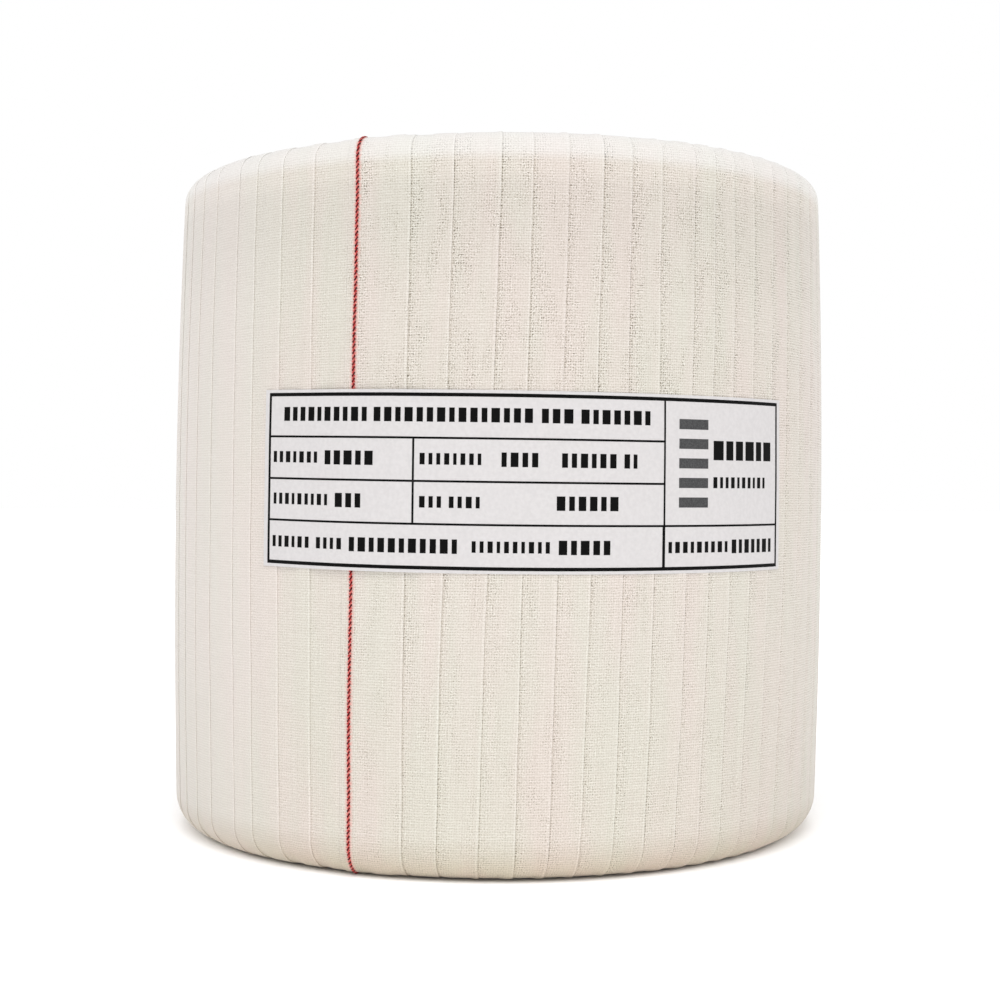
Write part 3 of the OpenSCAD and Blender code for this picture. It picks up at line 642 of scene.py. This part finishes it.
# Office paper: smooth, faintly blue white, with hardly any tooth at this distance.
paper, shader = finish("label_paper", "#d6d3d3", Roughness=0.6, Specular_IOR_Level=0.4)
at = add(paper, "ShaderNodeTexCoord", {}, out="Object")
grain = add(paper, "ShaderNodeTexNoise", {"Vector": at, "Scale": 1000 / TOOTH, "Detail": 4.0})
add(paper, "ShaderNodeValToRGB", {"Fac": grain}, shader.inputs["Base Color"],
    stops=[(0.35, "#d3d0d0"), (0.65, "#d9d6d6")])
add(paper, "ShaderNodeBump", {"Height": grain, "Strength": 0.1, "Distance": 0.00005},
    shader.inputs["Normal"])
points, quads = sheet(0, LABEL_W, 0, LABEL_H, 0, PAPER_T)
label = mesh_piece("rating_label", points, quads.tolist(), paper, ["label_sheet"])
label.data.set_sharp_from_angle(angle=SHARP)

# Print on the label: a ruled table in black toner. Each word is a row of plain blocks, taller and
# wider for bold words than for light ones, and the end panel holds plain grey bars and two rows.
INK_OVER, INK_T = 0.01, 0.02                      # mm above the paper, and thick
FRAME_LINE, SIDE_LINE, CELL_LINE = 1.0, 0.85, 0.6  # mm, widths of the ruled lines
LEFT, RIGHT, LOW, HIGH = 1.55, 168.6, 0.9, 50.1    # the frame, from the paper's lower left corner
COLUMN, PANEL = 49.55, 122.15                      # the upright lines inside it
ROWS_UP = np.array([LOW, 13.55, 25.5, 37.55, HIGH])  # the level lines, from the bottom
BOLD, LIGHT = 4.0, 3.2  # mm, heights of the words
SPACE = 1.1             # mm between the blocks of a word
LIFT = 0.2              # mm that the words sit above the middle of their row
# The grey bars: their ends, lowest edge, thickness and pitch in mm, and how many.
BAR_LEFT, BAR_RIGHT, BAR_LOW, BAR_T, BAR_PITCH, BARS = 127.0, 137.4, 18.8, 2.9, 5.6, 5
# Each word: its row from the bottom, its ends in mm from the paper's left edge, its height.
WORDS = [
    (3, 7.5, 35.8, BOLD), (3, 37.9, 82.9, BOLD), (3, 85.4, 94.3, BOLD), (3, 96.6, 117.4, BOLD),
    (2, 3.6, 19.8, LIGHT), (2, 22.5, 37.8, BOLD), (2, 51.4, 68.7, LIGHT), (2, 74.3, 84.5, BOLD),
    (2, 91.2, 107.0, BOLD), (2, 109.4, 113.4, BOLD),
    (1, 3.8, 23.5, LIGHT), (1, 26.1, 34.2, BOLD), (1, 51.4, 57.6, LIGHT), (1, 59.8, 68.4, LIGHT),
    (1, 89.8, 107.7, BOLD),
    (0, 3.6, 17.1, LIGHT), (0, 19.8, 28.3, LIGHT), (0, 30.8, 62.2, BOLD), (0, 66.3, 88.0, LIGHT),
    (0, 90.5, 105.4, BOLD), (0, 123.6, 145.2, LIGHT), (0, 147.0, 165.4, BOLD),
]
half = CELL_LINE / 2
row_1, row_2, row_3 = ROWS_UP[1:4]
mid_rows = (ROWS_UP[1:] + ROWS_UP[:-1]) / 2
inner_l, inner_r = LEFT + SIDE_LINE, RIGHT - SIDE_LINE
inner_b, inner_t = LOW + FRAME_LINE, HIGH - FRAME_LINE
lines = [
    (LEFT, RIGHT, LOW, inner_b), (LEFT, RIGHT, inner_t, HIGH),
    (LEFT, inner_l, inner_b, inner_t), (inner_r, RIGHT, inner_b, inner_t),
    (PANEL - half, PANEL + half, row_1 - half, inner_t),
    (PANEL - 2 * half, PANEL + half, inner_b, row_1 - half),
    (inner_l, PANEL - half, row_3 - half, row_3 + half),
    (inner_l, COLUMN - half, row_2 - half, row_2 + half),
    (COLUMN + half, PANEL - half, row_2 - half, row_2 + half),
    (COLUMN - half, COLUMN + half, row_1 + half, row_3 - half),
    (inner_l, PANEL - half, row_1 - half, row_1 + half),
    (PANEL + half, inner_r, row_1 - half, row_1 + half),
]


def word_blocks(left, right, middle, height):
    """A word as plain blocks, SPACE apart: one for each 0.75 of their height, of widths that vary by
    a sine."""
    count = max(1, round((right - left + SPACE) / (0.75 * height)))
    widths = 1 + 0.22 * np.sin(2.4 * np.arange(count) + left)
    widths *= (right - left - (count - 1) * SPACE) / widths.sum()
    ends = left + np.cumsum(widths + SPACE) - SPACE
    return [(b - w, b, middle - height / 2, middle + height / 2) for b, w in zip(ends, widths)]


words = [block for r, a, b, h in WORDS for block in word_blocks(a, b, mid_rows[r] + LIFT, h)]
words += word_blocks(139.4, 164.9, 35.3, 5.6) + word_blocks(139.4, 161.9, 26.0, LIGHT)
bar_lows = BAR_LOW + BAR_PITCH * np.arange(BARS)
bars = [(BAR_LEFT, BAR_RIGHT, low, low + BAR_T) for low in bar_lows]


def print_mesh(boxes):
    """Points and faces of one mesh of separate thin plates: each plate's faces are numbered on
    from the points of the plates before it."""
    plates = [sheet(*box, PAPER_T + INK_OVER, INK_T) for box in boxes]
    starts = np.cumsum([0] + [len(p) for p, f in plates])
    numbered = [f + start for (p, f), start in zip(plates, starts)]
    return np.concatenate([p for p, f in plates]), np.concatenate(numbered)


GRIT = 0.4  # mm, a bare speck in the toner, drawn about twice as coarse as it is so that it shows

# Laser toner: near black, with a slight gloss and tiny bare specks. The bars in the end panel are
# screened to a mid grey.
toner, shader = finish("laser_toner", "#080808", Roughness=0.6, Specular_IOR_Level=0.1)
at = add(toner, "ShaderNodeTexCoord", {}, out="Object")
speck = add(toner, "ShaderNodeTexNoise", {"Vector": at, "Scale": 1000 / GRIT, "Detail": 2.0})
screen = add(toner, "ShaderNodeAttribute", {}, out="Fac", attribute_name="screen")
speck = add(toner, "ShaderNodeMath", {0: speck, 1: 0.4, 2: screen}, operation="MULTIPLY_ADD")
add(toner, "ShaderNodeValToRGB", {"Fac": speck}, shader.inputs["Base Color"],
    stops=[(0.16, "#020202"), (0.3, "#0a0a0a"), (0.66, "#464647"), (0.8, "#5c5c5d")])
points, quads = print_mesh(lines + words)
bar_points, bar_quads = print_mesh(bars)
quads = np.concatenate([quads, bar_quads + len(points)])
screened = np.repeat([0.0, 0.5], [len(points), len(bar_points)])
table = mesh_piece("label_lines", np.concatenate([points, bar_points]), quads.tolist(), toner,
                   ["label_print"])
table.data.set_sharp_from_angle(angle=SHARP)
attribute = table.data.attributes.new("screen", "FLOAT", "POINT")
attribute.data.foreach_set("value", screened.astype(np.float32))

# Studio: a plain white floor under a soft dome, which is brighter where it is seen than as a
# light. Three lamps light the floor alone and keep it white up to the ring, from the front and
# from both sides, and one wide softbox lights the ring alone, from high in front.
FAR = 12.0  # m from the ring to the floor's sides
floor_mesh = bpy.data.meshes.new("studio_floor")
floor_mesh.from_pydata([(-FAR, -FAR, 0), (FAR, -FAR, 0), (FAR, FAR, 0), (-FAR, FAR, 0)], [], [(0, 1, 2, 3)])
pale, shader = finish("pale_floor", "#f5f5f6", Roughness=0.95, Specular_IOR_Level=0.05)
floor_mesh.materials.append(pale)
floor = bpy.data.objects.new("studio_floor", floor_mesh)
bpy.context.scene.collection.objects.link(floor)

SEEN, SHED = 1.0, 0.6  # the dome's strength as a backdrop, and as a light
world = bpy.data.worlds.new("studio")
bpy.context.scene.world = world
world.use_nodes = True
dome = world.node_tree.nodes["Background"]
dome.inputs["Color"].default_value = linear("#ffffff")
seen = add(world, "ShaderNodeLightPath", {}, out="Is Camera Ray")
add(world, "ShaderNodeMath", {0: seen, 1: SEEN - SHED, 2: SHED}, dome.inputs["Strength"],
    operation="MULTIPLY_ADD")

ring_only, floor_only = (bpy.data.collections.new(name) for name in ("ring_only", "floor_only"))
for thing in bpy.context.scene.objects:
    if thing.type == "MESH":
        (floor_only if thing == floor else ring_only).objects.link(thing)
# Each lamp's name, its strength, and in degrees how far it is tipped from straight down and its
# bearing to the right of the front.
for name, strength, tip, aside in (("front_lamp", 1.5, 31, 0), ("left_lamp", 1.25, 52, -75),
                                   ("right_lamp", 1.25, 52, 75)):
    lamp = bpy.data.objects.new(name, bpy.data.lights.new(name, "SUN"))
    lamp.data.energy, lamp.data.angle = strength, 0.7
    lamp.rotation_euler = (math.radians(tip), 0, math.radians(aside))
    lamp.light_linking.receiver_collection = floor_only
    bpy.context.scene.collection.objects.link(lamp)

KEY_AT, KEY_AIM, KEY_SIZE = (0.1, -2.2, 4.2), (0, 0, 0.1), 2.5  # m
key = bpy.data.objects.new("key", bpy.data.lights.new("key", "AREA"))
key.data.size, key.data.energy, key.data.color = KEY_SIZE, 102.0, linear("#fdfbf8")[:3]
away = Vector(KEY_AT) - Vector(KEY_AIM)
key.matrix_world = Matrix.Translation(KEY_AT) @ away.to_track_quat("Z", "Y").to_matrix().to_4x4()
key.light_linking.receiver_collection = ring_only
bpy.context.scene.collection.objects.link(key)

# Camera: before the ring's axis at about mid-height, tipped down and rolled a very little.
CAMERA_BACK, CAMERA_Z = 0.570, 0.1085  # m
TIP, ROLL = 0.0020, 0.0028             # radians
camera_data = bpy.data.cameras.new("camera")
camera_data.lens = 59.92
camera_data.sensor_width = 36.0
camera_data.shift_x = 0.0015
camera_data.clip_start = 0.01
camera = bpy.data.objects.new("camera", camera_data)
camera.matrix_world = (Matrix.Translation((0, -CAMERA_BACK, CAMERA_Z))
                       @ Matrix.Rotation(math.pi / 2 - TIP, 4, "X") @ Matrix.Rotation(ROLL, 4, "Z"))
bpy.context.scene.collection.objects.link(camera)
bpy.context.scene.camera = camera
bpy.context.scene.view_settings.view_transform = "Standard"
